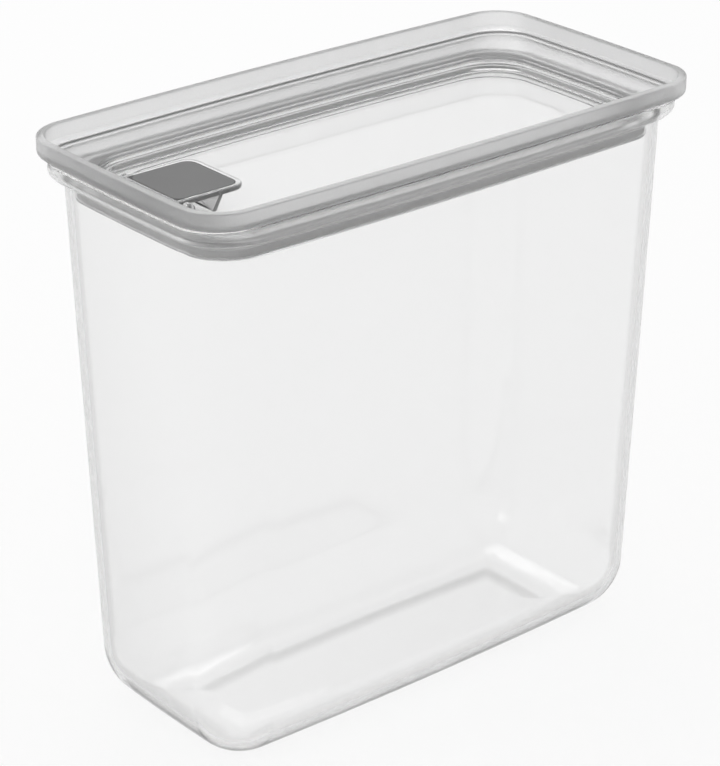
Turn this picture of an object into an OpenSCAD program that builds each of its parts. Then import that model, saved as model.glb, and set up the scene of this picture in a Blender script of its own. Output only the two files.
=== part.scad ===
// Clear cereal container: a tall tapered tub, a frosted lid with a clear tray, and a flip lever in the tray.
// Origin: the middle of the tub's underside. X runs along the length, the lever is at the -X end, Z is up.

/* [Mouth] */
// Length of the collar round the mouth, outside
mouth_l = 217; // [180:1:260]
// Width of the collar round the mouth, outside
mouth_w = 104.6; // [90:0.2:150]
// Corner radius of the collar, outside
mouth_r = 17; // [14:0.5:20]
// How much further the collar reaches out at its ends than at its sides
end_out = 1.4; // [0.6:0.1:2]
// How far the sides bulge between their corners
bow = 2; // [0.5:0.1:3]
// Straight height of the collar
collar_h = 3; // [2.5:0.5:8]
// Thickness of the collar
collar_t = 2; // [1.6:0.1:2.4]

/* [Tub] */
// Height of the tub without its lid
tub_h = 208.2; // [120:0.2:300]
// Height of the rounded shoulder under the collar
shoulder_h = 3.5; // [3:0.5:8]
// Step in from the side of the collar to the wall
shoulder_in = 2.4; // [1.6:0.1:3]
// Corner radius of the wall under the shoulder
wall_r = 19.5; // [17:0.5:24]
// How far the wall leans in from the shoulder to the base
lean = 5; // [1:0.1:10]
// Corner radius of the wall at the base
base_r = 20.5; // [17:0.5:26]
// Radius of the round edge between the wall and the base
base_round = 22.5; // [8:0.5:26]
// Thickness of the wall
wall_t = 2.4; // [1.8:0.1:2.6]
// Thickness of the floor
floor_t = 2.8; // [2:0.1:5]
// Width of the foot that the tub stands on
foot_w = 4; // [2:0.5:8]
// Corner radius of the foot
foot_r = 1.5; // [0.6:0.1:4]
// Height of the hollow inside the foot
foot_h = 0.8; // [0.4:0.1:1.5]

/* [Lid frame] */
// How far the frame reaches out past the collar's sides
overhang = 2.9; // [2.6:0.1:5]
// Corner radius of the frame, outside
frame_r = 15.5; // [13:0.5:19]
// Height of the frame above the collar
frame_h = 7.9; // [7:0.1:12]
// Thickness of the upright lip
lip_t = 3; // [2.2:0.1:3.6]
// Radius of the round edges along the lip's top
lip_round = 0.7; // [0.3:0.1:1]
// Height of the lip's upright outer face
lip_h = 5; // [3:0.1:5.4]
// Gap between the collar's edge and the frame
edge_gap = 0.9; // [0.4:0.1:1.6]
// Distance from the collar's outside to the frame's seat on it
seat_in = 0.8; // [0.5:0.1:1.2]
// How far the frame's lower edge reaches past the collar
edge_out = 0.2; // [0:0.1:1]
// Width of the ledge, from the lip's inner face to the tray
ledge_w = 11.2; // [10:0.2:14]
// Drop from the lip's top edge to the ledge's inner edge
ledge_drop = 11.3; // [10.5:0.1:12]
// How much higher the ledge is at the lip than at its inner edge
ledge_rise = 6.4; // [5.8:0.1:7.5]
// How dished the ledge is, where 1 is straight
ledge_dish = 1.8; // [1:0.1:2.5]
// Corner radius of the ledge's inner edge
ledge_r = 16.3; // [13:0.1:19]
// Thickness of the ledge at its inner edge
ledge_t = 1.6; // [1.2:0.1:2.4]
// Depth that the frame's tongue reaches into the collar
tongue_h = 1.2; // [0.6:0.1:2]

/* [Lid tray] */
// Step from the ledge's inner edge to the tray's wall
tray_step = 0.8; // [0.4:0.1:1.2]
// Depth of the tray's floor below the frame's top edge
tray_depth = 16.6; // [15:0.1:22]
// Thickness of the tray's walls
tray_t = 1.8; // [1.2:0.1:2.2]
// Thickness of the tray's floor
tray_floor_t = 2; // [1.4:0.1:3]
// Corner radius of the tray's recess
tray_r = 17; // [12:0.5:20]
// Width of the tray's rim that the frame sits on
land_w = 4.6; // [4.2:0.1:6]
// Height of the skirt that hangs from the tray's rim
skirt_h = 7.9; // [7.5:0.1:14]
// Corner radius of the skirt
skirt_r = 14.5; // [12:0.5:17]
// Height of each bead that holds the gasket
bead_h = 0.6; // [0.4:0.1:1]
// How far the beads stand out from the skirt
bead_w = 0.8; // [0.4:0.1:1.2]

/* [Gasket] */
// Height of the gasket
gasket_h = 3; // [2.4:0.1:3.6]
// Thickness of the gasket's band
gasket_t = 1.2; // [0.8:0.1:1.6]
// Height of each of the gasket's sealing lips
seal_h = 0.9; // [0.6:0.1:1.2]

/* [Lever] */
// Room between the tray's end wall and the lever's back edge
back_room = 1; // [0.9:0.1:3]
// Length of the lever from its back edge to its free end
lever_l = 28.6; // [25:0.2:36]
// Width of the lever
lever_w = 31.6; // [26:0.2:44]
// Thickness of the lever's plate
lever_t = 1.7; // [1.5:0.1:2.4]
// Height of the lever's top face above the tray's floor
lever_rise = 7.9; // [7.5:0.1:9]
// Corner radius at the lever's free end
lever_r = 5.4; // [2:0.1:7]
// Width of the clear border round the cover plate
border = 1.8; // [1.4:0.1:3]
// Width of the border behind the cover plate
back_border = 0.8; // [0.6:0.1:3]
// Thickness of the cover plate
cover_t = 1; // [0.6:0.1:1.1]
// Corner radius of the cover plate
cover_r = 4; // [1:0.1:5]
// Thickness of the wedge's sides and of its slanted front
web_t = 1.2; // [0.8:0.1:1.8]
// Distance from the lever's side edges to the wedge
wedge_in = 0.8; // [0.4:0.1:3]
// Length of the wedge under the plate
wedge_l = 9.8; // [8:0.1:11]
// How far the wedge's slanted front leans back
wedge_lean = 3.2; // [1:0.1:5]
// Gap between the wedge's tip and the tray's floor
wedge_gap = 0.8; // [0.4:0.1:1.2]
// Distance from the lever's free end to the wedge
finger_room = 9.4; // [7:0.2:11]

/* [Hinge] */
// Diameter of the hinge pin
pin_d = 2; // [1.6:0.1:2.4]
// Outside diameter of the lever's hinge barrel
barrel_d = 4.2; // [3.8:0.1:4.6]
// Distance from the pin to the lever's back edge
pin_back = 2.7; // [2.2:0.1:3]
// Depth of the pin below the lever's top face
pin_drop = 2.6; // [2.5:0.1:3]
// Thickness of each hinge lug on the tray
lug_t = 2.2; // [1.6:0.1:3]
// Outside radius of each hinge lug
lug_r = 2.4; // [2:0.1:2.8]

/* [Vent] */
// Diameter of the vent hole
vent_d = 4.2; // [3:0.1:5]
// Distance from the hinge pin to the vent
vent_reach = 5.6; // [5.2:0.1:6]
// Diameter of the stopper's sealing flange
stopper_flange_d = 8.8; // [8.2:0.1:9.2]
// Height of the stopper's sealing flange
stopper_flange_h = 1.8; // [1:0.1:2.4]
// Width of the flange round the nose
flange_w = 1.1; // [0.8:0.1:1.4]
// Depth of the stopper's nose
nose_h = 1.6; // [1:0.1:1.8]
// How much the nose's radius shrinks for each millimetre of depth
nose_slope = 0.8; // [0.76:0.02:0.9]
// Diameter of the boss that carries the stopper
boss_d = 3.2; // [2.4:0.1:4]
// Length of that boss
boss_h = 3.2; // [2:0.1:4]

/* [Clearances] */
// Gap between the gasket and the tub's wall
seal_gap = 0.3; // [0.2:0.05:0.5]
// Gap between the frame's tongue and the collar
tongue_gap = 0.6; // [0.4:0.1:1]
// Gap between the lever and what it moves past
lever_gap = 0.4; // [0.3:0.05:0.6]
// Running gap between the pin and the lever's bore
run_gap = 0.05; // [0.03:0.01:0.1]
// Gap between the stopper's body and the hinge barrel
barrel_gap = 0.3; // [0.3:0.05:0.8]
// Gap between the stopper's nose and its seat
nose_gap = 0.35; // [0.3:0.05:0.5]
// Gap round the pin, the cover and the boss where they are pressed in
fit_gap = 0.02; // [0.01:0.01:0.05]

/* [Hidden] */

eps = 0.01;
round_fn = 64;

// Steps along a corner, a long side, a short side and a rounded edge
corner_steps = 12;
long_steps = 6;
short_steps = 4;
edge_steps = 6;

// Half sizes of the outline that every other one is measured in from; the collar reaches further out at its ends
half_l = mouth_l / 2 - end_out;
half_w = mouth_w / 2;

// Heights of the tub
collar_z = tub_h - collar_h;
shoulder_z = collar_z - shoulder_h;
inner_round = base_round - wall_t;

// Insets from that outline, outwards negative
rim_in = -overhang;
lip_in = rim_in + lip_t;
ledge_in = lip_in + ledge_w;
tongue_in = collar_t + tongue_gap;
recess_in = ledge_in + tray_step;
land_in = recess_in - land_w;
wall_in = shoulder_in + wall_t;

// Heights of the lid
top_z = tub_h + frame_h;
frame_z = tub_h + edge_gap;
lip_z = top_z - lip_h;
ledge_z = top_z - ledge_drop;
land_z = ledge_z - ledge_t;
tray_z = top_z - tray_depth;
skirt_z = land_z - skirt_h;
gasket_z = skirt_z + bead_h;
gasket_top_z = gasket_z + gasket_h;

// Places of the lever, its pin and the vent
lever_back = recess_in - half_l + back_room;
lever_front = lever_back + lever_l;
lever_top_z = tray_z + lever_rise;
plate_z = lever_top_z - lever_t;
pin_x = lever_back + pin_back;
pin_z = lever_top_z - pin_drop;
wedge_front = lever_front - finger_room;
wedge_tip = wedge_front - wedge_lean;
wedge_z = tray_z + wedge_gap;
wedge_y = lever_w / 2 - wedge_in;
lug_y = lever_w / 2 + lever_gap;
vent_x = pin_x + vent_reach;
flange_z = tray_z + seal_gap;
stopper_d = 2 * (vent_reach - barrel_d / 2 - barrel_gap);
nose_d = stopper_flange_d - 2 * flange_w;
nose_tip_d = nose_d - 2 * nose_h * nose_slope;

function mix(a, b, t) = a + (b - a) * t;

// One point of a rounded rectangle, pulled in towards the corners so that the sides bulge
function bowed(x, y, a, b) = [
    x - sign(x) * bow * b / a * pow(y / b, 2) * abs(x) / a,
    y - sign(y) * bow * pow(x / a, 2) * abs(y) / b
];

// Outline of half length a, half width b and corner radius r, anticlockwise
function outline(a, b, r) =
    let (sx = [1, -1, -1, 1], sy = [1, 1, -1, -1])
    [for (k = [0:3])
        let (
            cx = sx[k] * (a - r),
            cy = sy[k] * (b - r),
            next_x = sx[(k + 1) % 4] * (a - r),
            next_y = sy[(k + 1) % 4] * (b - r),
            steps = k % 2 == 0 ? long_steps : short_steps,
            turn = 90 * (k + 1)
        )
        each concat(
            [for (i = [0:corner_steps])
                let (t = 90 * (k + i / corner_steps))
                bowed(cx + r * cos(t), cy + r * sin(t), a, b)],
            [for (i = [1:steps - 1])
                let (u = i / steps)
                bowed(mix(cx, next_x, u) + r * cos(turn), mix(cy, next_y, u) + r * sin(turn), a, b)]
        )];

// Outline that lies a given distance inside the shared one, and further out by a given length at its ends
function inset(d, r, out = 0) = outline(half_l + out - d, half_w - d, r);

// A ring of points at a height
function at_height(points, z) = [for (p = points) [p.x, p.y, z]];

// Triangles between neighbouring rings of n points, and from the last ring to the first if closed
function side_faces(m, n, closed) =
    [for (k = [0:closed ? m - 1 : m - 2], i = [0:n - 1])
        let (j = (i + 1) % n, up = (k + 1) % m)
        each [[k * n + i, up * n + i, up * n + j], [k * n + i, up * n + j, k * n + j]]];

// Angles of a quarter turn, for rounded edges
function quarter(steps) = [for (i = [0:steps]) 90 * i / steps];

// A solid whose skin runs through the rings in turn, with a flat cap at each end
module skin(rings) {
    n = len(rings[0]);
    m = len(rings);
    caps = [[for (i = [0:n - 1]) i], [for (i = [n - 1:-1:0]) (m - 1) * n + i]];
    polyhedron(points = [for (ring = rings) each ring], faces = concat(side_faces(m, n, false), caps));
}

// A closed hoop: its section runs through [inset, height, corner radius, extra reach] points and back to the first
module hoop(section) {
    rings = [for (s = section) at_height(inset(s[0], s[2], s[3]), s[1])];
    faces = side_faces(len(rings), len(rings[0]), true);
    polyhedron(points = [for (ring = rings) each ring], faces = faces);
}

// A flat-topped block that fills an outline
module slab(d, r, z0, z1) {
    translate([0, 0, z0]) linear_extrude(z1 - z0) polygon(inset(d, r));
}

// A straight-sided band between two outlines
module band(outer_in, outer_r, inner_in, inner_r, z0, z1) {
    difference() {
        slab(outer_in, outer_r, z0, z1);
        slab(inner_in, inner_r, z0 - eps, z1 + eps);
    }
}

// A drawing in X and Z, drawn out along Y between two places
module across(y0, y1) {
    translate([0, y1, 0]) rotate([90, 0, 0]) linear_extrude(y1 - y0) children();
}

// A rod along Y through the hinge, between two places
module hinge_rod(r, y0, y1) {
    across(y0, y1) translate([pin_x, pin_z]) circle(r = r, $fn = round_fn);
}

// A plate from x0 to x1 with its two front corners rounded
module tab(x0, x1, width, r, z0, z1) {
    translate([0, 0, z0]) linear_extrude(z1 - z0) {
        translate([x0, -width / 2]) square([x1 - x0 - r, width]);
        translate([x0, r - width / 2]) square([x1 - x0, width - 2 * r]);
        for (side = [-1, 1])
            translate([x1 - r, side * (width / 2 - r)]) circle(r = r, $fn = round_fn);
    }
}

// Inset, corner radius and ring of the tub's wall at a height, t inside its outer face
function wall_share(z) = (shoulder_z - z) / shoulder_z;
function wall_inset(z, t) = shoulder_in + lean * wall_share(z) + t;
function wall_radius(z, t) = mix(wall_r, base_r, wall_share(z)) - t;
function wall_ring(z, in, t) = at_height(inset(wall_inset(z, t) + in, max(foot_r, wall_radius(z, t) - in)), z);

module tub() {
    foot = inset(wall_inset(0, 0) + base_round + foot_w, foot_r);
    base = [for (t = quarter(edge_steps))
        wall_ring(base_round * (1 - cos(t)), base_round * (1 - sin(t)), 0)];
    shoulder = [for (t = quarter(edge_steps))
        let (u = 1 - sin(t), z = shoulder_z + shoulder_h * (1 - cos(t)))
        at_height(inset(shoulder_in * u, mix(mouth_r, wall_r, u), end_out * (1 - u)), z)];
    shoulder_inside = [for (t = quarter(edge_steps))
        let (u = 1 - cos(t), z = collar_z - shoulder_h * sin(t))
        at_height(
            inset(mix(collar_t, wall_in, u), mix(mouth_r - collar_t, wall_r - wall_t, u), end_out * (1 - u)),
            z
        )];
    base_inside = [for (t = quarter(edge_steps))
        wall_ring(floor_t + inner_round * (1 - sin(t)), inner_round * (1 - cos(t)), wall_t)];
    color("aliceblue", 0.4)
    skin(concat(
        [at_height(foot, foot_h), at_height(foot, 0)],
        base,
        shoulder,
        [
            at_height(inset(0, mouth_r, end_out), tub_h),
            at_height(inset(collar_t, mouth_r - collar_t, end_out), tub_h)
        ],
        shoulder_inside,
        base_inside
    ));
}

// One of the two lugs that carry the hinge pin
module hinge_lug() {
    across(lug_y, lug_y + lug_t) {
        translate([pin_x, pin_z]) circle(r = lug_r, $fn = round_fn);
        translate([pin_x - lug_r, tray_z - eps]) square([2 * lug_r, pin_z - tray_z + eps]);
    }
}

// The vent hole, with a sloping seat for the stopper's nose
module vent_hole() {
    seat_d = nose_d + 2 * (nose_gap - seal_gap * nose_slope);
    seat_h = (seat_d - vent_d) / 2 / nose_slope;
    translate([vent_x, 0, tray_z - tray_floor_t - eps])
        cylinder(d = vent_d, h = tray_floor_t + 2 * eps, $fn = round_fn);
    translate([vent_x, 0, tray_z - seat_h])
        cylinder(d1 = vent_d, d2 = seat_d, h = seat_h, $fn = round_fn);
    translate([vent_x, 0, tray_z - eps]) cylinder(d = seat_d, h = 2 * eps, $fn = round_fn);
}

module lid_tray() {
    pan_in = recess_in - tray_t;
    pan_r = tray_r + tray_t;
    color("azure", 0.5)
    difference() {
        union() {
            band(land_in, skirt_r, land_in + tray_t, skirt_r - tray_t, skirt_z, land_z);
            band(land_in, skirt_r, recess_in, tray_r, land_z - tray_t, land_z);
            band(pan_in, pan_r, recess_in, tray_r, tray_z - tray_floor_t, land_z);
            slab(pan_in, pan_r, tray_z - tray_floor_t, tray_z);
            for (z = [skirt_z, gasket_top_z])
                band(land_in - bead_w, skirt_r + bead_w, land_in + eps, skirt_r - eps, z, z + bead_h);
            hinge_lug();
            mirror([0, 1, 0]) hinge_lug();
        }
        hinge_rod(pin_d / 2 + fit_gap, -lug_y - lug_t - eps, lug_y + lug_t + eps);
        vent_hole();
    }
}

module lid_frame() {
    under_edge = [for (t = quarter(edge_steps / 2))
        let (u = 1 - sin(t))
        [mix(rim_in, -edge_out, u), mix(lip_z, frame_z, cos(t)), mix(frame_r, mouth_r + edge_out, u), end_out * u]];
    lip_outside = [for (t = quarter(edge_steps / 2))
        let (in = lip_round * (1 - cos(t)))
        [rim_in + in, top_z - lip_round * (1 - sin(t)), frame_r - in, 0]];
    lip_inside = [for (t = quarter(edge_steps / 2))
        let (in = lip_t - lip_round * (1 - sin(t)))
        [rim_in + in, top_z - lip_round * (1 - cos(t)), frame_r - in, 0]];
    ledge = [for (k = [0:edge_steps])
        let (u = k / edge_steps, z = ledge_z + ledge_rise * pow(1 - u, ledge_dish))
        [mix(lip_in, ledge_in, u), z, mix(frame_r - lip_t, ledge_r, u), 0]];
    underside = [
        [ledge_in, land_z, ledge_r, 0],
        [land_in, land_z, skirt_r, 0],
        [tongue_in, tub_h - tongue_h, mouth_r - tongue_in, end_out],
        [tongue_in, tub_h, mouth_r - tongue_in, end_out],
        [seat_in, tub_h, mouth_r - seat_in, end_out],
        [seat_in, frame_z, mouth_r - seat_in, end_out]
    ];
    color("lightgray", 0.85)
    hoop(concat(under_edge, lip_outside, lip_inside, ledge, underside));
}

module lid_gasket() {
    color("dimgray")
    difference() {
        union() {
            slab(land_in - gasket_t, skirt_r + gasket_t, gasket_z, gasket_top_z);
            for (z = [gasket_z, gasket_top_z - seal_h])
                slab(wall_inset(z, wall_t) + seal_gap, wall_radius(z, wall_t) - seal_gap, z, z + seal_h);
        }
        slab(land_in, skirt_r, gasket_z - eps, gasket_top_z + eps);
    }
}

module flip_lever() {
    color("whitesmoke", 0.6)
    difference() {
        union() {
            tab(lever_back, lever_front, lever_w, lever_r, plate_z, lever_top_z);
            hinge_rod(barrel_d / 2, -lever_w / 2, lever_w / 2);
            for (y = [-wedge_y, wedge_y - web_t])
                across(y, y + web_t) polygon([
                    [wedge_front - wedge_l, plate_z + eps],
                    [wedge_tip - web_t, wedge_z],
                    [wedge_tip, wedge_z],
                    [wedge_front, plate_z + eps]
                ]);
            across(-wedge_y, wedge_y) polygon([
                [wedge_front - web_t, plate_z + eps],
                [wedge_tip - web_t, wedge_z],
                [wedge_tip, wedge_z],
                [wedge_front, plate_z + eps]
            ]);
            translate([vent_x, 0, plate_z - boss_h])
                cylinder(d = boss_d, h = boss_h + eps, $fn = round_fn);
        }
        tab(lever_back + back_border, lever_front - border, lever_w - 2 * border, cover_r,
            lever_top_z - cover_t, lever_top_z + eps);
        hinge_rod(pin_d / 2 + run_gap, -lever_w / 2 - eps, lever_w / 2 + eps);
    }
}

module lever_cover() {
    color("gray")
    tab(lever_back + back_border + fit_gap, lever_front - border - fit_gap,
        lever_w - 2 * border - 2 * fit_gap, cover_r - fit_gap, lever_top_z - cover_t, lever_top_z);
}

module hinge_pin() {
    color("silver")
    hinge_rod(pin_d / 2, -lug_y - lug_t, lug_y + lug_t);
}

module vent_stopper() {
    color("slategray")
    translate([vent_x, 0, 0])
    difference() {
        union() {
            translate([0, 0, flange_z]) cylinder(d = stopper_flange_d, h = stopper_flange_h, $fn = round_fn);
            translate([0, 0, flange_z]) cylinder(d = stopper_d, h = plate_z - flange_z, $fn = round_fn);
            translate([0, 0, flange_z - nose_h])
                cylinder(d1 = nose_tip_d, d2 = nose_d, h = nose_h + eps, $fn = round_fn);
        }
        translate([0, 0, plate_z - boss_h - fit_gap])
            cylinder(d = boss_d + 2 * fit_gap, h = boss_h + fit_gap + eps, $fn = round_fn);
    }
}

tub();
lid_tray();
lid_frame();
lid_gasket();
flip_lever();
lever_cover();
hinge_pin();
vent_stopper();
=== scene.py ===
import math

import bmesh
import bpy
import numpy as np
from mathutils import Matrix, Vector


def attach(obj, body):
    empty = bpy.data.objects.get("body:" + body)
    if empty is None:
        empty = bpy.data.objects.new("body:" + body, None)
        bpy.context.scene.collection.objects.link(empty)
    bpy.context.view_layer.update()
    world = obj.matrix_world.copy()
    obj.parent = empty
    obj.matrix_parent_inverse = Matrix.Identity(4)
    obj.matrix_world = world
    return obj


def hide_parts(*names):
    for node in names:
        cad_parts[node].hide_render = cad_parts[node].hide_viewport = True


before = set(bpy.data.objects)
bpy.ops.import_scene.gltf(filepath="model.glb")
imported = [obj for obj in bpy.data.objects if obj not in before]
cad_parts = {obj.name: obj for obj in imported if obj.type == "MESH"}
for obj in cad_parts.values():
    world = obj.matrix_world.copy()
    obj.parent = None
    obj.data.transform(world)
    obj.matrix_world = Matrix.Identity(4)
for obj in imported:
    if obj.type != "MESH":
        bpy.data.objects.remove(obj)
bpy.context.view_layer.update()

# Camera: a long lens about a metre away, to the front left and above the canister.
# Its small shift is the photograph's own framing.
eye = Vector((-0.592298, -0.708793, 0.541448))
looks_at = Vector((-0.00344, -0.00082, 0.11133))
camera = bpy.data.objects.new("camera", bpy.data.cameras.new("camera"))
bpy.context.scene.collection.objects.link(camera)
camera.data.lens = 133.187
camera.data.sensor_width = 36
camera.data.shift_x = -0.00572
camera.data.shift_y = -0.00128
camera.data.clip_start = 0.05
camera.data.clip_end = 20.0
camera.location = eye
camera.rotation_mode = "QUATERNION"
camera.rotation_quaternion = (looks_at - eye).to_track_quat("-Z", "Y")
bpy.context.scene.camera = camera
bpy.context.scene.view_settings.view_transform = "Standard"
bounces = 28
bpy.context.scene.cycles.max_bounces = bounces
bpy.context.scene.cycles.transmission_bounces = bounces


# Studio: a white sweep that the clear plastic is seen against, with two soft lamps.
# The floor is lit only in part, so that it stays white and still keeps a shadow.
class Mark:
    """A value, colour or shader in a node tree. Sums on it add Math nodes to the tree."""

    def __init__(self, tree, socket=None):
        self.tree = tree
        self.socket = socket

    def node(self, kind, settings=None, inputs=None, out=0):
        made = self.tree.nodes.new(kind if "Node" in kind else "ShaderNode" + kind)
        for name, setting in (settings or {}).items():
            setattr(made, name, setting)
        for name, value in (inputs or {}).items():
            if isinstance(value, Mark):
                self.tree.links.new(value.socket, made.inputs[name])
            else:
                made.inputs[name].default_value = value
        return Mark(self.tree, made.outputs[out] if made.outputs else None)

    def sum(self, operation, first, second):
        return self.node("Math", {"operation": operation}, {0: first, 1: second})

    def __add__(self, other):
        return self.sum("ADD", self, other)

    def __radd__(self, other):
        return self.sum("ADD", other, self)

    def __sub__(self, other):
        return self.sum("SUBTRACT", self, other)

    def __rsub__(self, other):
        return self.sum("SUBTRACT", other, self)

    def __mul__(self, other):
        return self.sum("MULTIPLY", self, other)

    def __rmul__(self, other):
        return self.sum("MULTIPLY", other, self)


def blank_tree(owner):
    owner.use_nodes = True
    owner.node_tree.nodes.clear()
    return Mark(owner.node_tree)


def grey(level):
    return (level, level, level, 1)


def noise(tree, place, scale, detail, roughness):
    return tree.node("TexNoise", inputs={
        "Vector": place, "Scale": scale, "Detail": detail, "Roughness": roughness})


def ramp(tree, value, start, end, low=0.0, high=1.0):
    """A smooth rise from low to high as a value goes from start to end."""
    return tree.node("MapRange", {"interpolation_type": "SMOOTHSTEP"}, {
        0: value, 1: start, 2: end, 3: low, 4: high})


def seen_directly(tree):
    """1 where the camera sees a surface straight on, in a mirror or through glass, and 0 where it only sheds light."""
    path = tree.node("LightPath")
    rays = [Mark(tree.tree, path.socket.node.outputs[name])
            for name in ("Is Camera Ray", "Is Glossy Ray", "Is Transmission Ray")]
    return tree.node("Math", {"operation": "ADD", "use_clamp": True}, {0: rays[0] + rays[1], 1: rays[2]})


sweep_white = 1.0
room_level = 0.68
world = bpy.data.worlds.new("studio")
bpy.context.scene.world = world
studio = blank_tree(world)
sky = studio.node("Background", inputs={"Color": grey(sweep_white)})
room = studio.node("Background", inputs={"Color": grey(room_level)})
both = studio.node("MixShader", inputs={0: seen_directly(studio), 1: room, 2: sky})
studio.node("OutputWorld", inputs={"Surface": both})

floor_mesh = bpy.data.meshes.new("sweep_floor")
reach = 6
under_foot = -0.0003
corners = [(-reach, -reach), (reach, -reach), (reach, reach), (-reach, reach)]
floor_mesh.from_pydata([(x, y, under_foot) for x, y in corners], [], [(0, 1, 2, 3)])
floor = bpy.data.objects.new("sweep_floor", floor_mesh)
bpy.context.scene.collection.objects.link(floor)
floor_paint = bpy.data.materials.new("sweep")
paper = blank_tree(floor_paint)
lit_share = 0.22
lit = paper.node("BsdfDiffuse", inputs={"Color": grey(lit_share)})
glow = paper.node("Emission", inputs={
    "Color": grey(1), "Strength": seen_directly(paper) * (sweep_white - lit_share)})
paper.node("OutputMaterial", inputs={"Surface": paper.node("AddShader", inputs={0: lit, 1: glow})})
floor_mesh.materials.append(floor_paint)


def softbox(name, place, size, power):
    """A round soft lamp that points at the middle of the canister."""
    lamp = bpy.data.lights.new(name, "AREA")
    lamp.shape = "DISK"
    lamp.size = size
    lamp.energy = power
    made = bpy.data.objects.new(name, lamp)
    made.location = place
    made.rotation_mode = "QUATERNION"
    made.rotation_quaternion = (looks_at - Vector(place)).to_track_quat("-Z", "Y")
    bpy.context.scene.collection.objects.link(made)


softbox("softbox_over_back", (0.5, 0.9, 1.6), 1.1, 7)
softbox("softbox_left", (-1.5, -0.2, 1.2), 0.9, 3)

# Tub: one thin moulding of clear plastic, tapered and with bulging sides, a shoulder and a collar.
# It is moulded in one shot, stands on a low foot, and every edge of it is softly rounded.
mouth = (217.0, 104.6)
mouth_corner = 17.0
end_reach = 1.4
bulge = 2.0
tub_top = 208.2
collar_bottom = 205.2
shoulder_bottom = 201.7
shoulder_step = 2.4
lean = 5.0
wall_corner = (19.5, 20.5)
base_round = 22.5
base_corner = 1.5
wall = 2.4
floor_top = 2.8
foot_width = 4.0
foot_hollow = 0.8
foot_slope = 6.0
foot_edge = 2.5
floor_flat = 16.0
collar_wall = 2.0
collar_edge = 0.7


def outline(inset, corner, reach=0.0, corner_steps=16, long_steps=26, short_steps=14):
    """Points round the canister, anticlockwise, at an inset from its sides, with some extra reach at its ends."""
    a, b = mouth[0] / 2 - end_reach + reach - inset, mouth[1] / 2 - inset
    middles = [(x * (a - corner), y * (b - corner)) for x, y in ((1, 1), (-1, 1), (-1, -1), (1, -1))]
    points = []
    for k, (cx, cy) in enumerate(middles):
        for i in range(corner_steps + 1):
            turn = math.pi / 2 * (k + i / corner_steps)
            points.append((cx + corner * math.cos(turn), cy + corner * math.sin(turn)))
        next_x, next_y = middles[(k + 1) % 4]
        turn = math.pi / 2 * (k + 1)
        steps = short_steps if k % 2 else long_steps
        for i in range(1, steps):
            u = i / steps
            points.append((cx + (next_x - cx) * u + corner * math.cos(turn),
                           cy + (next_y - cy) * u + corner * math.sin(turn)))
    x, y = np.array(points).T
    bowed_x = x - np.sign(x) * bulge * b / a * (y / b) ** 2 * np.abs(x) / a
    bowed_y = y - np.sign(y) * bulge * (x / a) ** 2 * np.abs(y) / b
    return np.stack([bowed_x, bowed_y], axis=1)


def softened(section, closed, steps=4):
    """A section of (inset, height, corner radius, edge radius, reach) points, with its edges rounded."""
    spots = [np.array([*p[:3], *(p[4:] or (0,))], float) for p in section]
    points = []
    for i, here in enumerate(spots):
        radius = section[i][3]
        if radius == 0 or (not closed and i in (0, len(spots) - 1)):
            points.append(here)
            continue
        ends = []
        for other in (spots[i - 1], spots[(i + 1) % len(spots)]):
            step = other - here
            ends.append(here + step * min(0.49, radius / math.hypot(step[0], step[1])))
        for t in np.linspace(0, 1, steps + 1):
            points.append((1 - t) ** 2 * ends[0] + 2 * t * (1 - t) * here + t * t * ends[1])
    return points


def new_piece(name, points, faces):
    """A mesh piece from points in millimetres, with its faces pointing outwards."""
    mesh = bpy.data.meshes.new(name)
    mesh.from_pydata([tuple(p) for p in np.array(points) / 1000], [], faces)
    build = bmesh.new()
    build.from_mesh(mesh)
    bmesh.ops.remove_doubles(build, verts=build.verts, dist=1e-7)
    bmesh.ops.recalc_face_normals(build, faces=build.faces)
    if build.calc_volume(signed=True) < 0:
        bmesh.ops.reverse_faces(build, faces=build.faces)
    build.to_mesh(mesh)
    build.free()
    piece = bpy.data.objects.new(name, mesh)
    bpy.context.scene.collection.objects.link(piece)
    return piece


def smooth(piece, sharpest=40):
    """Smooth shading, except on edges sharper than an angle in degrees."""
    piece.data.shade_smooth()
    piece.data.set_sharp_from_angle(angle=math.radians(sharpest))


def moulded(name, section, closed):
    """A skin through one ring for each section point, closed to a hoop or filled at both ends."""
    rings = []
    for inset, height, corner, reach in section:
        flat = outline(inset, corner, reach)
        rings.append(np.column_stack([flat, np.full(len(flat), height)]))
    n, m = len(rings[0]), len(rings)
    faces = []
    for k in range(m if closed else m - 1):
        up = (k + 1) % m
        for i in range(n):
            j = (i + 1) % n
            faces.append((k * n + i, up * n + i, up * n + j, k * n + j))
    if not closed:
        faces.append(tuple(range(n)))
        faces.append(tuple((m - 1) * n + i for i in reversed(range(n))))
    return new_piece(name, np.concatenate(rings), faces)


def wall_share(height):
    """How far down the tapered wall a height is: 0 at the shoulder, 1 at the foot."""
    return (shoulder_bottom - height) / shoulder_bottom


def wall_inset(height, depth=0):
    return shoulder_step + lean * wall_share(height) + depth


def wall_turn(height, depth=0):
    return wall_corner[0] + (wall_corner[1] - wall_corner[0]) * wall_share(height) - depth


def quarter(steps):
    """Sine and cosine at even steps of a quarter turn."""
    return [(math.sin(t), math.cos(t)) for t in np.linspace(0, math.pi / 2, steps)]


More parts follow.
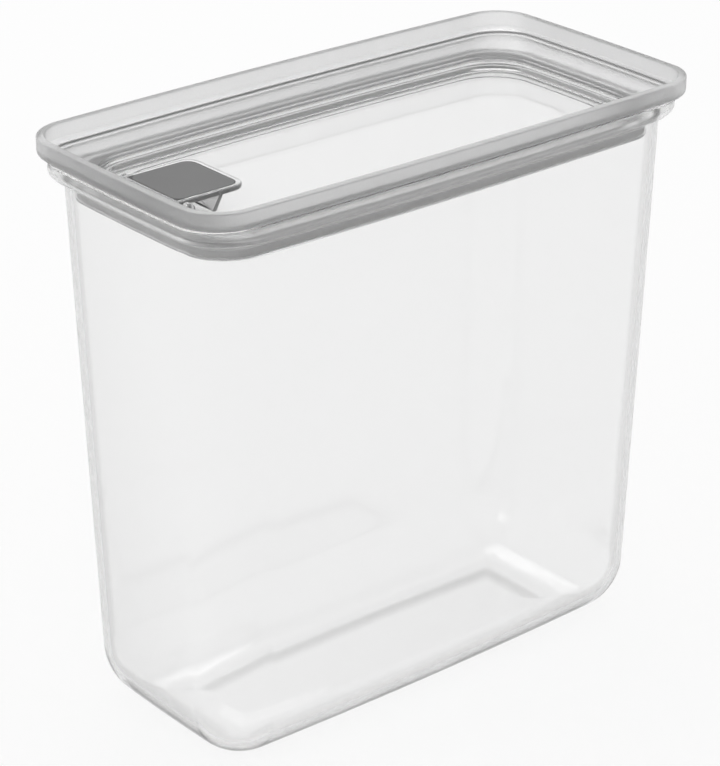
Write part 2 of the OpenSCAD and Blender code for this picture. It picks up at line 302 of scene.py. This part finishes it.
def tub_section():
    """From the middle of the underside, out round the foot, up the outside, and down the inside to the floor."""
    foot_in = wall_inset(0) + base_round + foot_width
    middle = foot_in + floor_flat
    points = [(middle, foot_hollow, base_corner, 0),
              (foot_in + foot_slope, foot_hollow, base_corner, foot_edge),
              (foot_in - 1, 0, base_corner, foot_edge)]
    for s, c in quarter(22):
        rise, inwards = base_round * (1 - c), base_round * (1 - s)
        points.append((wall_inset(rise) + inwards, rise, max(base_corner, wall_turn(rise) - inwards), 0))
    for height in np.linspace(base_round, shoulder_bottom, 12)[1:-1]:
        points.append((wall_inset(height), height, wall_turn(height), 0))
    rise = collar_bottom - shoulder_bottom
    for s, c in quarter(10):
        corner = mouth_corner + (wall_corner[0] - mouth_corner) * (1 - s)
        points.append((shoulder_step * (1 - s), shoulder_bottom + rise * (1 - c), corner, 0, end_reach * s))
    inner_corner = mouth_corner - collar_wall
    points += [(0, tub_top, mouth_corner, collar_edge, end_reach),
               (collar_wall, tub_top, inner_corner, collar_edge, end_reach)]
    for s, c in quarter(10):
        inset = collar_wall + (shoulder_step + wall - collar_wall) * (1 - c)
        corner = inner_corner + (wall_corner[0] - wall - inner_corner) * (1 - c)
        points.append((inset, collar_bottom - rise * s, corner, 0, end_reach * c))
    for height in np.linspace(shoulder_bottom, base_round, 12)[1:-1]:
        points.append((wall_inset(height, wall), height, wall_turn(height, wall), 0))
    radius = base_round - wall
    for s, c in quarter(22):
        rise, inwards = floor_top + radius * (1 - s), radius * (1 - c)
        corner = max(base_corner, wall_turn(rise, wall) - inwards)
        points.append((wall_inset(rise, wall) + inwards, rise, corner, 0))
    points.append((middle, floor_top, base_corner, 0))
    return softened(points, closed=False)


haze_run = 0.003
haze_most = 0.14
shadow_through_clear = 0.93


def light_goes_by(tree, body, share):
    """Shows a see-through body, but lets a share of the lamps' light straight through to what lies behind it."""
    lets_light_by = tree.node("BsdfTransparent", inputs={"Color": grey(share)})
    path = tree.node("LightPath")
    shadow_ray = Mark(tree.tree, path.socket.node.outputs["Is Shadow Ray"])
    shown = tree.node("MixShader", inputs={0: shadow_ray, 1: body, 2: lets_light_by})
    tree.node("OutputMaterial", inputs={"Surface": shown})


def clear_plastic(name, tints, edge_from, edge_to, roughness, waviness, clearness, soft_above=None):
    """Clear moulded plastic with faint flow waves and handling marks.

    tints are its grey levels seen face on and edge on, and edge_from and edge_to say where one turns to the other. The
    edge-on grey is painted shade, standing in for the dark edges that clear walls show.
    clearness is the share that is see-through, and the rest is milky. soft_above is a height in metres from which
    the moulding turns slightly hazy.
    """
    finish = bpy.data.materials.new(name)
    tree = blank_tree(finish)
    place = tree.node("TexCoord", out=3)
    waves = noise(tree, place, 26.0, 1.0, 0.4)
    marks = noise(tree, place, 900.0, 3.0, 0.6)
    skin = tree.node("Bump", inputs={"Strength": waviness, "Distance": 0.0006, "Height": waves})
    # Painted shade: the grey darkens where the surface is seen edge on.
    edge = ramp(tree, tree.node("LayerWeight", inputs={"Blend": 0.5}, out=1), edge_from, edge_to)
    tint = tree.node("Mix", {"data_type": "RGBA"}, {0: edge, 6: grey(tints[0]), 7: grey(tints[1])}, out=2)
    rough = roughness * (0.7 + 0.6 * marks)
    if soft_above is not None:
        height = tree.node("SeparateXYZ", inputs={0: place}, out=2)
        rough = rough + ramp(tree, height, soft_above, soft_above + haze_run, 0.0, haze_most)
    body = tree.node("BsdfPrincipled", inputs={
        "Base Color": tint, "Roughness": rough, "IOR": 1.49, "Transmission Weight": clearness, "Normal": skin})
    light_goes_by(tree, body, shadow_through_clear)
    return finish


def fitted(piece, finish, node, body):
    """Gives a piece its finish and its body, and hides the solid that it stands for."""
    piece.data.materials.clear()
    piece.data.materials.append(finish)
    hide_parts(node)
    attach(piece, body)


tub = moulded("clear_tub", tub_section(), closed=False)
smooth(tub)
tub_plastic = clear_plastic("clear_tub_plastic", (0.985, 0.72), 0.46, 0.62, 0.012, 0.12, 0.95,
                            soft_above=shoulder_bottom / 1000)
fitted(tub, tub_plastic, "tub", "tub")

# Lid frame: a frosted, slightly soft ring with an upright lip and a dished ledge.
# It is moulded over the tray's rim, rests on the collar, and its tongue drops inside it.
lid_top = 216.1
lip_reach = 2.9
lip_wall = 3.0
lip_edge = 0.7
frame_corner = 15.5
lip_foot = 211.1
frame_foot = 209.1
lower_edge_reach = 0.2
ledge_end = 11.3
ledge_low = 204.8
ledge_rise = 6.4
ledge_dish = 1.8
ledge_corner = 16.3
land = 203.2
land_inset = 7.5
skirt_corner = 14.5
tongue_inset = 2.6
tongue_low = 207.0
seat_inset = 0.8
seat_edge = 0.3
frosted_tint, frosted_rough = 0.85, 0.42
# Painted shade over the collar, and the heights where it comes in and goes out.
seat_painted_shade = 0.72
shade_band_rise, shade_band_fall = (0.2070, 0.2086), (0.2108, 0.2114)
# Painted shadow: the gap under the frame is painted near black, up to gap_reach above the frame's foot.
gap_painted_shadow, gap_reach = 0.18, 0.06
shadow_through_frost = 0.75


def frame_section():
    """From the frame's lower edge, up and over the lip, down the dished ledge and back round the tongue."""
    points = []
    for s, c in quarter(8):
        u = 1 - s
        inset = u * (lip_reach - lower_edge_reach) - lip_reach
        corner = frame_corner + (mouth_corner + lower_edge_reach - frame_corner) * u
        points.append((inset, lip_foot + (frame_foot - lip_foot) * c, corner, 0, end_reach * u))
    for inwards in (0, lip_wall):
        points.append((inwards - lip_reach, lid_top, frame_corner - inwards, lip_edge))
    start = lip_wall - lip_reach
    for u in np.linspace(0, 1, 16):
        corner = frame_corner - lip_wall + (ledge_corner - frame_corner + lip_wall) * u
        height = ledge_low + ledge_rise * (1 - u) ** ledge_dish
        points.append((start + (ledge_end - start) * u, height, corner, 0.35 if u == 1 else 0))
    points += [
        (ledge_end, land, ledge_corner, 0.2),
        (land_inset, land, skirt_corner, seat_edge),
        (tongue_inset, tongue_low, mouth_corner - tongue_inset, 0.4, end_reach),
        (tongue_inset, tub_top, mouth_corner - tongue_inset, seat_edge, end_reach),
        (seat_inset, tub_top, mouth_corner - seat_inset, seat_edge, end_reach),
        (seat_inset, frame_foot, mouth_corner - seat_inset, seat_edge, end_reach),
    ]
    return softened(points, closed=True)


def frosted_plastic(name, tint, painted_shade_at_seat):
    """Frosted plastic: light comes through it, but no picture. Where it lies over the collar its grey is painted
    darker, as painted shade.
    """
    finish = bpy.data.materials.new(name)
    tree = blank_tree(finish)
    place = tree.node("TexCoord", out=3)
    grain = noise(tree, place, 1400.0, 2.0, 0.55)
    cloud = noise(tree, place, 60.0, 2.0, 0.5)
    skin = tree.node("Bump", inputs={"Strength": 0.35, "Distance": 0.0002, "Height": grain})
    height = tree.node("SeparateXYZ", inputs={0: place}, out=2)
    # Painted shade: the band over the collar is painted darker than the rest of the frame.
    painted_shade_band = ramp(tree, height, *shade_band_rise) * (1 - ramp(tree, height, *shade_band_fall))
    level = tint + (painted_shade_at_seat - tint) * painted_shade_band + 0.08 * (cloud - 0.5) + 0.1 * (grain - 0.5)
    shade = tree.node("CombineColor", inputs={0: level, 1: level, 2: level})
    body = tree.node("BsdfPrincipled", inputs={
        "Base Color": shade, "Roughness": frosted_rough + 0.12 * (grain - 0.5), "IOR": 1.45,
        "Transmission Weight": 1.0, "Normal": skin})
    light_goes_by(tree, body, shadow_through_frost)
    return finish


lid_frame = moulded("frosted_frame", frame_section(), closed=True)
smooth(lid_frame)
frame_plastic = frosted_plastic("frosted_frame_plastic", frosted_tint, seat_painted_shade)
fitted(lid_frame, frame_plastic, "lid_frame", "lid")
# The frame's faces in the gap over the collar take a second, near-black finish: painted shadow in the gap between
# frame and collar.
lid_frame.data.materials.append(frosted_plastic("frosted_frame_painted_gap_shadow", gap_painted_shadow, gap_painted_shadow))
for face in lid_frame.data.polygons:
    in_painted_shadow = tub_top < face.center.z * 1000 < frame_foot + gap_reach
    if in_painted_shadow and face.normal.z < 0.1:
        face.material_index = 1

# Lid tray: a clear pan with a sunken floor, a skirt that hangs into the tub and two beads for the gasket.
# One moulding, with the hinge's two lugs and the vent hole in it.
recess_inset = 12.1
recess_corner = 17.0
tray_floor = 199.5
tray_under = 197.5
tray_wall = 1.8
skirt_low = 195.3
bead_reach = 0.8
bead_height = 0.6
gasket_low = 195.9
gasket_high = 198.9
pin_spot = (-91.3, 204.8)
lug_start = 16.2
lug_width = 2.2
lug_radius = 2.4
vent_x = -85.7
vent_hole = 4.2
nose_top = 6.6
tray_middle = 34.0
tray_middle_corner = 8.0
floor_edge = 0.25
fillet_start = 12.7
fillet_width = 4.9
fillet_rise = 1.1
pin_bore = 1.02
bore_reach = 20.0
lug_foot = 0.5


def tray_section():
    """From the middle of the underside, out and round the skirt and its beads, and back along the sunken floor."""
    pan = recess_inset - tray_wall
    pan_corner = recess_corner + tray_wall
    skirt_in = land_inset + tray_wall
    bead = land_inset - bead_reach
    inner_corner = skirt_corner - tray_wall
    bead_corner = skirt_corner + bead_reach
    points = [
        (tray_middle, tray_under, tray_middle_corner, 0),
        (pan, tray_under, pan_corner, 1.2),
        (pan, land - tray_wall, pan_corner, 0.4),
        (skirt_in, land - tray_wall, inner_corner, 0.3),
        (skirt_in, skirt_low, inner_corner, 0.4),
        (bead, skirt_low, bead_corner, 0.25),
        (bead, gasket_low, bead_corner, 0.15),
        (land_inset, gasket_low, skirt_corner, 0.15),
        (land_inset, gasket_high, skirt_corner, 0.15),
        (bead, gasket_high, bead_corner, 0.15),
        (bead, gasket_high + bead_height, bead_corner, 0.2),
        (land_inset, gasket_high + bead_height, skirt_corner, 0.2),
        (land_inset, land, skirt_corner, 0.3),
        (recess_inset, land, recess_corner, 0.3),
    ]
    fillet_top = tray_floor + floor_edge + fillet_rise
    points.append((fillet_start - 0.4, fillet_top + 0.5, recess_corner, 0))
    for s, c in quarter(10):
        points.append((fillet_start + fillet_width * (1 - c), fillet_top - fillet_rise * s, recess_corner, 0))
    points += [
        (fillet_start + fillet_width + floor_edge, tray_floor, recess_corner, 0.1),
        (tray_middle, tray_floor, tray_middle_corner, 0),
    ]
    return softened(points, closed=False)


def prism(name, drawing, axis, start, end, soft=0.0, soft_steps=3):
    """A drawing drawn out along Y or Z, in millimetres, with its edges softened."""
    count = len(drawing)
    if axis == "z":
        points = [(x, y, h) for h in (start, end) for x, y in drawing]
    else:
        points = [(x, h, z) for h in (start, end) for x, z in drawing]
    faces = [tuple(range(count)), tuple(range(count, 2 * count))]
    faces += [(i, (i + 1) % count, count + (i + 1) % count, count + i) for i in range(count)]
    piece = new_piece(name, points, faces)
    if soft:
        bevel = piece.modifiers.new("soft_edges", "BEVEL")
        bevel.width = soft / 1000
        bevel.segments = soft_steps
        bevel.limit_method = "ANGLE"
        bevel.angle_limit = math.radians(40)
        settle(piece)
    return piece


def turned(name, profile, axis, centre, steps=48):
    """A turned shape: (radius, place) points spun round an axis along Y or Z through a centre."""
    rings = []
    for radius, place in profile:
        for k in range(steps):
            turn = 2 * math.pi * k / steps
            across, up = radius * math.cos(turn), radius * math.sin(turn)
            if axis == "z":
                rings.append((centre[0] + across, centre[1] + up, place))
            else:
                rings.append((centre[0] + across, place, centre[1] + up))
    faces = [tuple(range(steps)), tuple(range(len(rings) - steps, len(rings)))]
    for k in range(len(profile) - 1):
        for i in range(steps):
            j = (i + 1) % steps
            faces.append((k * steps + i, k * steps + j, (k + 1) * steps + j, (k + 1) * steps + i))
    return new_piece(name, rings, faces)


def settle(piece):
    """Turns what a piece's modifiers make into its own plain mesh."""
    graph = bpy.context.evaluated_depsgraph_get()
    mesh = bpy.data.meshes.new_from_object(piece.evaluated_get(graph), depsgraph=graph)
    piece.modifiers.clear()
    rough = piece.data
    piece.data = mesh
    bpy.data.meshes.remove(rough)
    mesh.name = piece.name


def joined(piece, operation, *tools):
    """Welds the tools to a piece, or cuts them out of it, and removes them."""
    for tool in tools:
        step = piece.modifiers.new(tool.name, "BOOLEAN")
        step.operation = operation
        step.solver = "EXACT"
        step.object = tool
        settle(piece)
        bpy.data.objects.remove(tool)


def lug(side):
    """An upright ear with a round top, on one side of the lever's barrel."""
    x, z = pin_spot
    drawing = [(x + lug_radius, tray_floor - lug_foot)]
    for t in np.linspace(0, math.pi, 25):
        drawing.append((x + lug_radius * math.cos(t), z + lug_radius * math.sin(t)))
    drawing.append((x - lug_radius, tray_floor - lug_foot))
    near, far = sorted((side * lug_start, side * (lug_start + lug_width)))
    return prism("lug", drawing, "y", near, far, soft=0.3)


tray = moulded("clear_tray", tray_section(), closed=False)
joined(tray, "UNION", lug(-1), lug(1))
seat_radius = nose_top / 2 + 0.35 - 0.3 * 0.8
hinge_bore = turned("bore", [(pin_bore, -bore_reach), (pin_bore, bore_reach)], "y", pin_spot)
vent_bore = turned("bore", [(vent_hole / 2, tray_under - 1), (vent_hole / 2, tray_floor - 1.0),
                            (seat_radius, tray_floor), (seat_radius, tray_floor + 1)], "z", (vent_x, 0))
joined(tray, "DIFFERENCE", hinge_bore, vent_bore)
smooth(tray, 30)
tray_plastic = clear_plastic("clear_tray_plastic", (0.945, 0.85), 0.6, 0.78, 0.012, 0.1, 0.9)
fitted(tray, tray_plastic, "lid_tray", "lid")

# Gasket: a grey silicone band held between the skirt's beads, with two thin lips that reach for the wall.
# It is one extruded length, closed to a ring, so its section runs round the skirt's outline.
band_wall = 1.2
lip_thickness = 0.5
lip_length = 1.05
end_play = 0.04

gasket_path = bpy.data.meshes.new("gasket")
flat = outline(land_inset, skirt_corner)[::-1] / 1000
gasket_path.from_pydata([(x, y, (gasket_low + gasket_high) / 2000) for x, y in flat],
                        [(i, (i + 1) % len(flat)) for i in range(len(flat))], [])
gasket = bpy.data.objects.new("gasket", gasket_path)
bpy.context.scene.collection.objects.link(gasket)


def silicone(name, level, roughness):
    """Grey silicone: dull, slightly dusty, with a soft sheen at grazing light."""
    finish = bpy.data.materials.new(name)
    tree = blank_tree(finish)
    place = tree.node("TexCoord", out=3)
    grain = noise(tree, place, 1800.0, 2.0, 0.6)
    dust = noise(tree, place, 220.0, 4.0, 0.7)
    shade = tree.node("Mix", {"data_type": "RGBA"}, {0: dust, 6: grey(level * 0.9), 7: grey(level * 1.12)}, out=2)
    skin = tree.node("Bump", inputs={"Strength": 0.25, "Distance": 0.0001, "Height": grain})
    body = tree.node("BsdfPrincipled", inputs={
        "Base Color": shade, "Roughness": roughness + 0.1 * (dust - 0.5), "Sheen Weight": 0.15,
        "Sheen Roughness": 0.5, "Normal": skin})
    tree.node("OutputMaterial", inputs={"Surface": body})
    return finish


def swept_section(finish):
    """A node tree that sweeps the gasket's band and lips round a closed path."""
    tree = bpy.data.node_groups.new("gasket_section", "GeometryNodeTree")
    tree.interface.new_socket(name="Path", in_out="INPUT", socket_type="NodeSocketGeometry")
    sizes = {"Band wall": band_wall / 1000, "Band height": (gasket_high - gasket_low - end_play) / 1000,
             "Lip length": lip_length / 1000, "Lip thickness": lip_thickness / 1000}
    for name, size in sizes.items():
        made = tree.interface.new_socket(name=name, in_out="INPUT", socket_type="NodeSocketFloat")
        made.default_value = size
    tree.interface.new_socket(name="Lips", in_out="INPUT", socket_type="NodeSocketInt").default_value = 2
    tree.interface.new_socket(name="Gasket", in_out="OUTPUT", socket_type="NodeSocketGeometry")
    start = Mark(tree).node("NodeGroupInput")
    given = {s.name: Mark(tree, s) for s in start.socket.node.outputs}
    path = start.node("GeometryNodeMeshToCurve", inputs={0: given["Path"]})
    path = path.node("GeometryNodeSetCurveNormal", {"mode": "Z_UP"}, {0: path})
    wall_part, height = given["Band wall"], given["Band height"]
    band = start.node("GeometryNodeCurvePrimitiveQuadrilateral", inputs={
        "Width": wall_part, "Height": height})
    band = band.node("GeometryNodeFilletCurve", inputs={"Curve": band, "Radius": wall_part * 0.22})
    place = start.node("CombineXYZ", inputs={0: wall_part * 0.5})
    band = band.node("GeometryNodeTransform", inputs={"Geometry": band, "Translation": place})
    length, thick = given["Lip length"], given["Lip thickness"]
    lip = start.node("GeometryNodeCurvePrimitiveQuadrilateral", {"mode": "TRAPEZOID"}, {
        "Bottom Width": thick * 1.6, "Top Width": thick * 0.7, "Height": length * 1.2, "Offset": 0.0})
    lip = lip.node("GeometryNodeTransform", inputs={"Geometry": lip, "Rotation": (0, 0, -math.pi / 2)})
    spots = start.node("GeometryNodeMeshLine", {"mode": "OFFSET"}, {
        "Count": given["Lips"],
        "Start Location": start.node("CombineXYZ", inputs={0: wall_part + length * 0.4, 1: height * -0.28}),
        "Offset": start.node("CombineXYZ", inputs={1: height * 0.56})})
    lips = start.node("GeometryNodeInstanceOnPoints", inputs={"Points": spots, "Instance": lip})
    lips = lips.node("GeometryNodeRealizeInstances", inputs={0: lips})
    profile = start.node("GeometryNodeJoinGeometry")
    join = profile.socket.node
    tree.links.new(band.socket, join.inputs[0])
    tree.links.new(lips.socket, join.inputs[0])
    swept = start.node("GeometryNodeCurveToMesh", inputs={"Curve": path, "Profile Curve": profile})
    swept = swept.node("GeometryNodeRealizeInstances", inputs={0: swept})
    swept = swept.node("GeometryNodeSetMaterial", inputs={"Geometry": swept, "Material": finish})
    swept.node("NodeGroupOutput", inputs={0: swept})
    return tree


gasket_silicone = silicone("gasket_silicone", 0.68, 0.6)
sweep = gasket.modifiers.new("section", "NODES")
sweep.node_group = swept_section(gasket_silicone)
settle(gasket)
build = bmesh.new()
build.from_mesh(gasket.data)
bmesh.ops.recalc_face_normals(build, faces=build.faces)
build.to_mesh(gasket.data)
build.free()
smooth(gasket, 35)
fitted(gasket, gasket_silicone, "lid_gasket", "lid")

# Flip lever: a clear plate with a wedge under its free end and a barrel at its hinge, all one moulding.
# A fingertip goes under the free end, and the wedge's slanted front keeps it from slipping.
lever_back = -94.0
lever_front = -65.4
lever_width = 31.6
lever_top = 207.4
plate_low = 205.7
lever_corner = 5.4
border = 1.8
back_border = 0.8
cover_wall = 1.0
cover_corner = 4.0
barrel = 4.2
web = 1.2
wedge_front = -74.8
wedge_tip = -78.0
wedge_low = 200.3
wedge_length = 9.8
wedge_side = 15.0
boss = 3.2
barrel_bore = 1.05
hinge_corner = 0.6
overlap = 0.3


def tab(back, front, width, corner):
    """A plate's outline with two rounded corners at its free end and two small ones at its hinge end."""
    half = width / 2
    points = []
    turns = ((front, half, corner), (back, half, hinge_corner), (back, -half, hinge_corner), (front, -half, corner))
    for start, (x, y, radius) in enumerate(turns):
        cx = x - radius if x == front else x + radius
        cy = y - radius if y > 0 else y + radius
        for t in np.linspace(0, math.pi / 2, 13):
            turn = start * math.pi / 2 + t
            points.append((cx + radius * math.cos(turn), cy + radius * math.sin(turn)))
    return points


def round_bar(name, radius, half_length, soft):
    """A bar along the hinge's axis with eased ends."""
    profile = [(radius - soft, -half_length), (radius, soft - half_length),
               (radius, half_length - soft), (radius - soft, half_length)]
    return turned(name, profile, "y", pin_spot)


lever = prism("clear_lever", tab(lever_back, lever_front, lever_width, lever_corner), "z",
              plate_low, lever_top, soft=0.45)
web_top = plate_low + overlap
front_web = [(wedge_front - web, web_top), (wedge_tip - web, wedge_low),
             (wedge_tip, wedge_low), (wedge_front, web_top)]
side_web = [(wedge_front - wedge_length, web_top), *front_web[1:]]
webs = [prism("web", side_web, "y", y, y + web, soft=0.2) for y in (-wedge_side, wedge_side - web)]
webs.append(prism("web", front_web, "y", -wedge_side + 0.4, wedge_side - 0.4, soft=0.2))
foot_of_boss = turned("boss", [(boss / 2, plate_low - boss), (boss / 2, web_top)], "z", (vent_x, 0))
hinge_barrel = round_bar("barrel", barrel / 2, lever_width / 2 - 0.01, 0.3)
joined(lever, "UNION", hinge_barrel, foot_of_boss, *webs)
pocket_drawing = tab(lever_back + back_border, lever_front - border, lever_width - 2 * border, cover_corner)
pocket = prism("pocket", pocket_drawing, "z", lever_top - cover_wall, lever_top + 1)
bore = turned("bore", [(barrel_bore, -bore_reach), (barrel_bore, bore_reach)], "y", pin_spot)
joined(lever, "DIFFERENCE", pocket, bore)
smooth(lever, 30)
lever_plastic = clear_plastic("clear_lever_plastic", (0.97, 0.93), 0.6, 0.78, 0.015, 0.1, 0.78)
fitted(lever, lever_plastic, "flip_lever", "lever")

# Cover plate: a matt grey moulding pressed into the lever's pocket, flush with its border.
# Its edges are eased, and its face has the fine grain of a spark-eroded mould.
fit_gap = 0.02
# Width and strength of the painted shadow round the plate's rim.
rim_shadow_far, rim_shadow_near = 0.00055, 0.0003
painted_rim_shadow_depth = 0.85
cover_level = 0.125


def matt_grey(name, level, roughness, middle, half_length, half_width, corner):
    """Matt grey plastic with a fine grain, and a painted shadow along the rim of a plate with rounded corners. Sizes
    in metres.
    """
    finish = bpy.data.materials.new(name)
    tree = blank_tree(finish)
    place = tree.node("TexCoord", out=3)
    grain = noise(tree, place, 2600.0, 2.0, 0.5)
    cloud = noise(tree, place, 90.0, 3.0, 0.5)
    squares = []
    for k, (centre, half) in enumerate(((middle, half_length), (0.0, half_width))):
        spot = tree.node("SeparateXYZ", inputs={0: place}, out=k)
        spot = tree.node("Math", {"operation": "ABSOLUTE"}, {0: spot - centre}) - (half - corner)
        spot = tree.node("Math", {"operation": "MAXIMUM"}, {0: spot, 1: 0.0})
        squares.append(spot * spot)
    away = tree.node("Math", {"operation": "SQRT"}, {0: squares[0] + squares[1]})
    # Painted shadow: a dark line round the plate's rim, standing in for the shade in the gap between plate and border.
    rim = ramp(tree, away, corner - rim_shadow_far, corner - rim_shadow_near)
    tone = level * (0.93 + 0.14 * cloud) * (1 - painted_rim_shadow_depth * rim)
    shade = tree.node("CombineColor", inputs={0: tone, 1: tone, 2: tone})
    skin = tree.node("Bump", inputs={"Strength": 0.3, "Distance": 0.00008, "Height": grain})
    body = tree.node("BsdfPrincipled", inputs={
        "Base Color": shade, "Roughness": roughness + 0.12 * (cloud - 0.5), "Normal": skin})
    tree.node("OutputMaterial", inputs={"Surface": body})
    return finish


inner = border + fit_gap
plate_from, plate_to = lever_back + back_border + fit_gap, lever_front - inner
plate = tab(plate_from, plate_to, lever_width - 2 * inner, cover_corner - fit_gap)
cover = prism("cover_plate", plate, "z", lever_top - cover_wall, lever_top, soft=0.25)
smooth(cover, 30)
cover_grey = matt_grey("cover_grey", cover_level, 0.5, (plate_from + plate_to) / 2000,
                       (plate_to - plate_from) / 2000, (lever_width / 2 - inner) / 1000,
                       (cover_corner - fit_gap) / 1000)
fitted(cover, cover_grey, "lever_cover", "lever")

# Hinge pin: a ground steel pin with chamfered ends, pressed into the lugs.
# The lever's barrel turns on it.
pin_radius = 1.0
pin_chamfer = 0.3
pin = round_bar("hinge_pin_steel", pin_radius, lug_start + lug_width, pin_chamfer)
smooth(pin, 25)


def ground_steel(name):
    """Bright steel with fine grinding lines round the bar."""
    finish = bpy.data.materials.new(name)
    tree = blank_tree(finish)
    place = tree.node("TexCoord", out=3)
    stretched = tree.node("Mapping", inputs={"Vector": place, "Scale": (900.0, 60.0, 900.0)})
    lines = noise(tree, stretched, 4.0, 3.0, 0.6)
    skin = tree.node("Bump", inputs={"Strength": 0.15, "Distance": 0.00005, "Height": lines})
    body = tree.node("BsdfPrincipled", inputs={
        "Base Color": (0.62, 0.62, 0.63, 1), "Metallic": 1.0, "Roughness": 0.22 + 0.15 * lines, "Normal": skin})
    tree.node("OutputMaterial", inputs={"Surface": body})
    return finish


fitted(pin, ground_steel("pin_steel"), "hinge_pin", "lid")

# Vent stopper: a soft grey plug pushed on the lever's boss, with a flange and a tapered nose.
# Its nose closes the vent when the lever lies flat.
stopper_radius = 3.2
flange_radius = 4.4
flange_low = 199.8
flange_height = 1.8
nose_depth = 1.6
nose_tip = 4.04
core = 0.4
small_edge, large_edge = 0.25, 0.4
nose_low = flange_low - nose_depth
flange_top = flange_low + flange_height
socket_radius, socket_top = boss / 2 + fit_gap, plate_low - boss - fit_gap
stopper_profile = [
    (core, nose_low), (nose_tip / 2 - small_edge, nose_low), (nose_tip / 2, nose_low + small_edge),
    (nose_top / 2, flange_low), (flange_radius - small_edge, flange_low), (flange_radius, flange_low + small_edge),
    (flange_radius, flange_top - large_edge), (flange_radius - large_edge, flange_top),
    (stopper_radius, flange_top + 0.15), (stopper_radius, plate_low - fit_gap), (socket_radius, plate_low - fit_gap),
    (socket_radius, socket_top), (core, socket_top)]
stopper = turned("soft_stopper", stopper_profile, "z", (vent_x, 0))
smooth(stopper, 35)
fitted(stopper, silicone("stopper_silicone", 0.3, 0.55), "vent_stopper", "lever")
